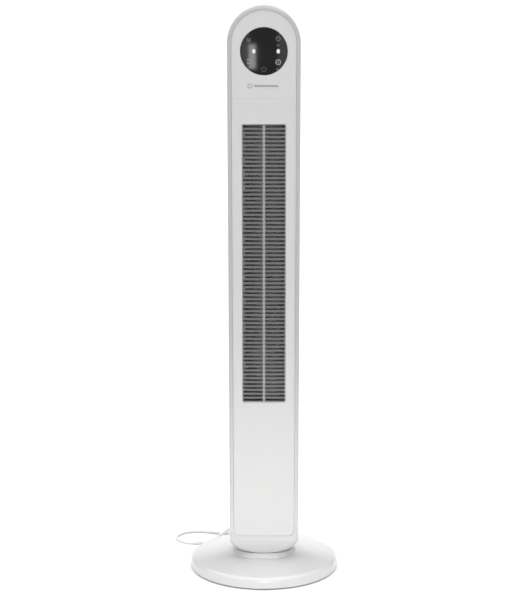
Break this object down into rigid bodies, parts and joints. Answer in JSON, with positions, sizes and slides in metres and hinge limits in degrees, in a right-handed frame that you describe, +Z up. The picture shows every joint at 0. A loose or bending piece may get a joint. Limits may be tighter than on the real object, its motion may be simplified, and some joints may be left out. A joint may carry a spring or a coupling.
{
  "type": "tower fan",
  "caption": "Tall slim tower fan with an arched head, round display, slatted front outlet and cross-flow impeller, on a swinging column over a round base",
  "frame": {"origin": "centre of the round base, on the floor", "axes": "+Z up, -Y the front with the display and outlet, +X to the right seen from the front"},
  "size_m": [0.328, 0.434, 1.0999],
  "materials": {
    "gloss_white": "glossy moulded white",
    "satin_white": "fine satin moulded white",
    "grille_white": "satin moulded white",
    "black_lens": "smoked gloss black",
    "dark_plastic": "moulded dark grey",
    "pom_white": "natural acetal",
    "sheet_steel": "zinc plated",
    "shaft_steel": "ground steel",
    "sintered_bronze": "sintered bronze",
    "rubber_black": "soft rubber",
    "board_green": "lacquered circuit board",
    "components": "moulded component cases",
    "lamp_white": "diffusing lamp body",
    "spring_steel": "plated spring wire",
    "copper_iron": "laminated core with windings",
    "cord_white": "soft white sheath",
    "tie_white": "soft white band",
    "pin_nickel": "nickel plated"
  },
  "bodies": {
    "base": {"base_cover": "gloss_white", "base_underplate": "dark_plastic", "ballast_ring": "sheet_steel", "rubber_feet": "rubber_black", "base_screws": "sheet_steel", "base_collar": "gloss_white", "pivot_post": "sheet_steel", "pivot_screws": "sheet_steel", "slide_washer": "pom_white", "pivot_nut": "sheet_steel", "swing_gear": "pom_white", "power_cord": "cord_white", "plug_lead": "cord_white", "cord_coil": "cord_white", "cord_tie": "tie_white", "power_plug": "cord_white", "plug_pins": "pin_nickel"},
    "column": {"pivot_bush": "pom_white", "foot_lid": "dark_plastic", "swing_motor": "sheet_steel", "swing_motor_screws": "sheet_steel", "column_foot": "gloss_white", "front_frame": "gloss_white", "front_panel": "satin_white", "head_panel": "satin_white", "outlet_grille": "grille_white", "rear_housing": "satin_white", "housing_screws": "sheet_steel", "display_lens": "black_lens", "display_board": "board_green", "touch_springs": "spring_steel", "display_lamps": "lamp_white", "lower_bulkhead": "dark_plastic", "upper_bulkhead": "dark_plastic", "scroll_wall": "dark_plastic", "tongue_wall": "dark_plastic", "bearing_bush": "sintered_bronze", "bearing_holder": "rubber_black", "motor_case": "sheet_steel", "motor_bushes": "sintered_bronze", "motor_stator": "copper_iron", "motor_mounts": "rubber_black", "power_board": "board_green", "board_posts": "dark_plastic", "board_components": "components", "cord_gland": "cord_white"},
    "impeller": {"impeller": "dark_plastic", "top_journal": "shaft_steel", "motor_rotor": "shaft_steel"},
    "pinion": {"swing_pinion": "pom_white"}
  },
  "joints": [
    {"name": "column_swing", "type": "hinge", "parent": "base", "child": "column", "pos_m": [0, 0, 0.05], "axis": [0, 0, 1], "range_deg": [-40, 40]},
    {"name": "impeller_spin", "type": "hinge", "parent": "column", "child": "impeller", "pos_m": [0, 0.008, 0.6], "axis": [0, 0, 1], "continuous": true},
    {"name": "pinion_turn", "type": "hinge", "parent": "column", "child": "pinion", "pos_m": [0.0315, 0, 0.055], "axis": [0, 0, 1], "range_deg": [-130, 130]}
  ],
  "couplings": [
    {"joint": "pinion_turn", "follows": "column_swing", "ratio": 3.2}
  ]
}
